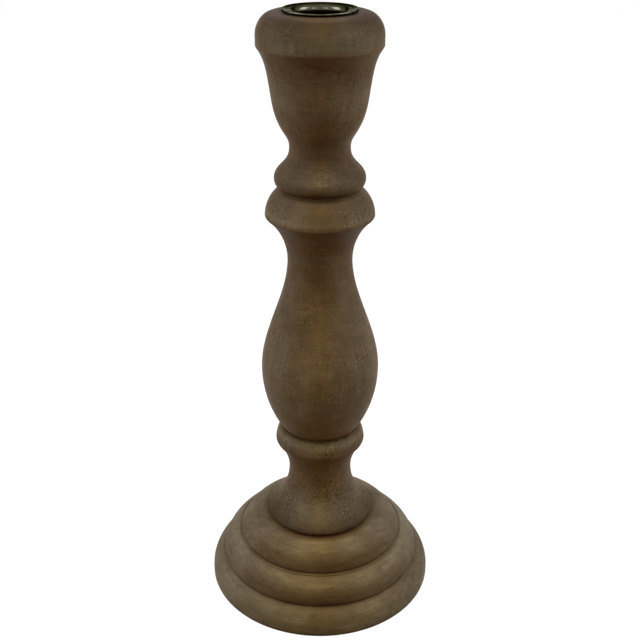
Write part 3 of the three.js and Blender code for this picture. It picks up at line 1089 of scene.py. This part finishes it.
class CANDLE_OT_vase(Operator):
    """Turn the vase"""

    bl_idname = "candle.vase"
    bl_label = "Vase"

    def execute(self, context):
        """Outline: bulb, neck, hollow, sharp shoulder and fillet, with a bore at each end."""
        size = chosen().vase
        height = height_of("vase_turning")
        shoulder_top = height - size.fillet_height
        arris = shoulder_top - size.shoulder_height
        underside = arris - size.arris_height
        neck = underside - size.neck_height
        lower_bore, lower_depth = dowel_bore("pedestal_vase_dowel")
        upper_bore, upper_depth = dowel_bore("vase_cup_dowel")
        outline = Outline(0, lower_depth)
        outline.line((lower_bore, lower_depth), (lower_bore, 0), (size.seat_radius, 0))
        outline.arc(size.bulb_radius, size.bulb_height, size.bulb_turn)
        outline.bend(size.neck_radius, neck, (size.bulb_swell, 0), (size.neck_cove, 0))
        outline.arc(size.underside_radius, underside, -size.underside_turn)
        outline.arc(size.shoulder_radius, arris, size.underside_turn)
        outline.arc(size.shoulder_top_radius, shoulder_top, size.shoulder_turn)
        outline.line(
            (size.fillet_radius, shoulder_top),
            (size.fillet_radius, height),
            (upper_bore, height),
            (upper_bore, height - upper_depth),
            (0, height - upper_depth),
        )
        # Painted shade in the neck's cove, round the bulb, under the shoulder and at the fillet; a
        # painted highlight on the shoulder.
        pools = (
            Pool(neck, 33 * MM, coats=0.36, hollow=0.5),
            Pool(size.bulb_height, 60 * MM, coats=0.0, hollow=0.4),
            Pool(underside - 1 * MM, 3 * MM, coats=0.35),
            Pool(arris + 2 * MM, 2 * MM, coats=-0.4),
            Pool(height, 5 * MM, coats=0.25),
        )
        # Dark joints, with painted shade beside them.
        bands = (
            Band(size.seat_radius, 0, 5 * MM, coats=0.15, hollow=0.15),
            Band(size.fillet_radius, height, -2.5 * MM, coats=0.3, hollow=0.3),
        )
        look = Look(
            seed=37, coats=0.06, pith=(0.0, 0.075, 0.0), lean=(0.03, 0.0, 0.0),
            rings=0.16, streaks=0.35, gold=-0.1, flecks=0.38,
            shade_ruddy=0.9, painted_light_coats=(-0.22, 0.36), painted_shade_coats=(0.22, 0.12),
        )
        turned_wood("vase", outline, look, pools, bands)
        return {"FINISHED"}


class CANDLE_OT_cup(Operator):
    """Turn the wooden cup"""

    bl_idname = "candle.cup"
    bl_label = "Wooden cup"

    def execute(self, context):
        """Outline: bead, neck, bowl, flare and rolled rim, then down the brass cup's socket."""
        size, brass = chosen().cup, chosen().brass
        height = height_of("cup_turning")
        neck = size.bead_height + size.bead_rise
        bowl = neck + size.bowl_rise
        underside = bowl + size.flare_rise
        arris = underside + size.arris_height
        band = arris + size.band_height
        roll = band + size.roll_height
        bore, depth = dowel_bore("vase_cup_dowel")
        socket = brass.bore_radius + brass.sheet + size.socket_play
        socket_floor = height - brass.depth - size.socket_spare
        on_side, on_flare = (size.bowl_swell, size.bowl_lean), (size.flare_start, size.bowl_lean)
        under_rim = (size.flare_end, size.flare_lean)
        on_roll, on_top = (size.crown_start, -size.roll_turn), (size.crown_end, -QUARTER)
        outline = Outline(0, depth)
        outline.line((bore, depth), (bore, 0), (size.seat_radius, 0))
        outline.arc(size.bead_radius, size.bead_height, size.bead_turn)
        outline.bend(size.neck_radius, neck, (size.bead_swell, 0), (size.neck_cove, 0))
        outline.bend(size.bowl_radius, bowl, (size.bowl_cove, 0), on_side)
        outline.bend(size.underside_radius, underside, on_flare, under_rim)
        outline.arc(size.rim_radius, arris, size.flare_lean)
        outline.line((size.rim_radius, band))
        outline.arc(size.roll_radius, roll, size.roll_turn)
        outline.bend(size.top_radius, height, on_roll, on_top)
        outline.line(
            (socket + size.chamfer, height),
            (socket, height - size.chamfer),
            (socket, socket_floor),
            (0, socket_floor),
        )
        # Painted shade under the rim, on the bowl, in the neck and at the bead's foot; a painted
        # highlight on the rim's band; darker on the roll and above the band, slightly lighter on
        # the bead.
        pools = (
            Pool(height, 4.5 * MM, coats=0.82),
            Pool(arris + 3 * MM, 3 * MM, coats=-0.15),
            Pool(arris + 7 * MM, 6 * MM, coats=0.12),
            Pool(underside - 5 * MM, 8 * MM, coats=0.32, hollow=0.4),
            Pool(bowl, 13 * MM, coats=-0.05, hollow=0.5),
            Pool(neck - 4 * MM, 9 * MM, coats=0.48),
            Pool(neck, 6 * MM, coats=0.0, hollow=0.45),
            Pool(size.bead_height + 2 * MM, 4 * MM, coats=-0.05),
            Pool(1 * MM, 4 * MM, coats=0.42, hollow=0.5),
        )
        # A dark joint with painted shade at the bead, and a painted shadow of the brass flange
        # round the socket.
        bands = (
            Band(size.seat_radius, 0, 3 * MM, coats=0.3, hollow=0.3),
            Band(brass.flange_radius, height, -1.5 * MM, coats=0.4),
        )
        look = Look(
            seed=41, coats=0.2, pith=(0.0, 0.0608, 0.0), lean=(0.0, 0.0, 0.0),
            rings=0.32, streaks=0.5, gold=-0.3, flecks=0.35,
            shade_ruddy=1.0, painted_light_coats=(-0.26, 0.34), painted_shade_coats=(0.3, -0.2),
        )
        turned_wood("cup", outline, look, pools, bands)
        return {"FINISHED"}


class CANDLE_OT_dowels(Operator):
    """Finish the two dowels"""

    bl_idname = "candle.dowels"
    bl_label = "Dowels"

    def execute(self, context):
        """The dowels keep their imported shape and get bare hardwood."""
        hardwood = new_material("bare_dowel", bare_dowel)
        for node in ("pedestal_vase_dowel", "vase_cup_dowel"):
            put_on(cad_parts[node], hardwood)
        return {"FINISHED"}


class CANDLE_OT_brass_cup(Operator):
    """Press the brass cup"""

    bl_idname = "candle.brass_cup"
    bl_label = "Brass cup"

    def execute(self, context):
        """Outline: underside, wall, flange, rounded lip, then back down the bore to the floor."""
        size = chosen().brass
        wall = size.bore_radius + size.sheet
        bend = size.outer_bend
        floor = size.sheet - size.depth
        lip = size.flange_radius - size.sheet / 2
        outline = Outline(0, -size.depth)
        outline.line((wall - size.floor_round, -size.depth))
        outline.arc(wall, size.floor_round - size.depth, QUARTER)
        outline.line((wall, -bend))
        outline.arc(wall + bend, 0, -QUARTER)
        outline.line((size.seat_radius, 0), (lip, size.lift))
        outline.arc(lip, size.lift + size.sheet, size.lip_turn)
        outline.line((size.seat_radius, size.sheet))
        outline.line((size.bore_radius + size.inner_bend, size.sheet))
        outline.arc(size.bore_radius, size.sheet - size.inner_bend, QUARTER)
        outline.line(
            (size.bore_radius, floor + size.sheet),
            (size.bore_radius - size.sheet, floor),
            (0, floor),
        )
        points = outline.points(size.edge_ease)
        rubbed = np.exp(-(((points[:, 0] - size.flange_radius) / size.lip_wear) ** 2))
        points[:, 1] += foot_of("brass_candle_cup") + size.depth
        cup = revolve("pressed_brass_cup", points, {"arris": rubbed})
        put_on(cup, new_material("aged_brass", aged_brass))
        seated(cup, INSERT, "brass_candle_cup")
        return {"FINISHED"}


class CANDLE_OT_felt(Operator):
    """Lay the felt disc under the base"""

    bl_idname = "candle.felt"
    bl_label = "Felt disc"

    def execute(self, context):
        """Outline: straight underside and top, with the cut edge rounded over."""
        size = chosen().felt
        rounding = size.edge_round
        outline = Outline(0, 0)
        outline.line((size.radius - rounding, 0))
        outline.arc(size.radius, rounding, QUARTER)
        outline.line((size.radius, size.thickness - rounding))
        outline.arc(size.radius - rounding, size.thickness, QUARTER)
        outline.line((0, size.thickness))
        disc = revolve("felt_disc", outline.points())
        put_on(disc, new_material("pressed_felt", pressed_felt))
        seated(disc, STAND, "felt_pad")
        return {"FINISHED"}


# Stage

FLOOR_WIDTH = 8.0
LAMPS_FACE = (0.0, 0.0, 0.15)  # the middle of the holder
WHITE = (1.0, 1.0, 1.0, 1.0)


def area_lamp(name, place, size, power):
    """A square soft lamp that faces the middle of the holder."""
    data = bpy.data.lights.new(name, "AREA")
    data.shape = "SQUARE"
    data.size = size
    data.energy = power
    lamp = linked(name, data)
    lamp.location = place
    lamp.rotation_euler = (Vector(LAMPS_FACE) - Vector(place)).to_track_quat("-Z", "Y").to_euler()


def seen_directly(net):
    """1 for what the camera sees, straight or in metal or glass."""
    path = net.add("ShaderNodeLightPath").outputs
    mirrored = net.math("MAXIMUM", path["Is Glossy Ray"], path["Is Transmission Ray"])
    return net.math("MAXIMUM", path["Is Camera Ray"], mirrored)


def white_paper(stage):
    """Throws back little light but looks white, and keeps the shadow."""
    material = bpy.data.materials.new("floor_paper")
    net = empty_net(material)
    matt = net.add("ShaderNodeBsdfDiffuse", {"Color": (*stage.floor_colour, 1.0)})
    glow = net.math("MULTIPLY", seen_directly(net), stage.floor_glow)
    light = net.add("ShaderNodeEmission", {"Color": WHITE, "Strength": glow})
    both = net.add("ShaderNodeAddShader", {0: matt.outputs[0], 1: light.outputs[0]})
    net.add("ShaderNodeOutputMaterial", {"Surface": both.outputs[0]})
    return material


class CANDLE_OT_stage(Operator):
    """Set the camera, floor and lamps"""

    bl_idname = "candle.stage"
    bl_label = "Stage"

    def execute(self, context):
        """The camera stands where the photo's did, and soft lamps stand at both sides."""
        scene, stage = context.scene, chosen().stage
        data = bpy.data.cameras.new("photo_camera")
        data.lens = stage.lens
        data.sensor_width = 36.0
        data.clip_start = 0.01
        camera = linked("photo_camera", data)
        camera.location = (0.0, -stage.distance, stage.height)
        camera.rotation_euler = (QUARTER - stage.pitch, 0.0, 0.0)
        scene.camera = camera

        mesh = bpy.data.meshes.new("floor")
        half = FLOOR_WIDTH / 2
        corners = [(-half, -half, 0), (half, -half, 0), (half, half, 0), (-half, half, 0)]
        mesh.from_pydata(corners, [], [(0, 1, 2, 3)])
        floor = linked("floor", mesh)
        put_on(floor, white_paper(stage))

        scene.world = bpy.data.worlds.new("studio")
        net = empty_net(scene.world)
        strength = net.remap(seen_directly(net), 0.0, 1.0, stage.ambient, 1.0)
        sky = net.add("ShaderNodeBackground", {"Color": WHITE, "Strength": strength})
        net.add("ShaderNodeOutputWorld", {"Surface": sky.outputs[0]})

        for side, name in ((-1, "left"), (1, "right")):
            area_lamp(f"high_{name}_lamp", (0.7 * side, 0.0, 0.85), 0.5, stage.high_power)
            area_lamp(f"low_{name}_lamp", (0.95 * side, 0.0, 0.1), 0.4, stage.low_power)
            area_lamp(f"front_{name}_lamp", (0.4 * side, -0.7, 1.0), 0.27, stage.front_power)
        area_lamp("back_lamp", (0.0, 0.8, 0.9), 0.6, stage.back_power)

        scene.view_settings.view_transform = "Standard"
        return {"FINISHED"}


# Panel and registration


class CANDLE_PT_panel(Panel):
    """Lists every step of the candle holder"""

    bl_idname = "CANDLE_PT_panel"
    bl_label = "Candle Holder"
    bl_space_type = "VIEW_3D"
    bl_region_type = "UI"
    bl_category = "Candle Holder"

    def draw(self, context):
        for step in STEPS:
            self.layout.operator(step.bl_idname)


SETTINGS = (
    LatheSettings, BaseSizes, PedestalSizes, VaseSizes, CupSizes, BrassSizes, FeltSizes,
    WoodFinish, MetalFinish, SoftFinish, StageSettings, CandleHolderSettings,
)
STEPS = (
    CANDLE_OT_base, CANDLE_OT_pedestal, CANDLE_OT_vase, CANDLE_OT_cup, CANDLE_OT_dowels,
    CANDLE_OT_brass_cup, CANDLE_OT_felt, CANDLE_OT_stage,
)


def register():
    for item in (*SETTINGS, *STEPS, CANDLE_PT_panel):
        bpy.utils.register_class(item)
    bpy.types.Scene.candle_holder = PointerProperty(type=CandleHolderSettings)


def unregister():
    del bpy.types.Scene.candle_holder
    for item in reversed((*SETTINGS, *STEPS, CANDLE_PT_panel)):
        bpy.utils.unregister_class(item)


def main():
    register()
    for step in STEPS:
        group, action = step.bl_idname.split(".")
        getattr(getattr(bpy.ops, group), action)()


if __name__ == "__main__":
    main()
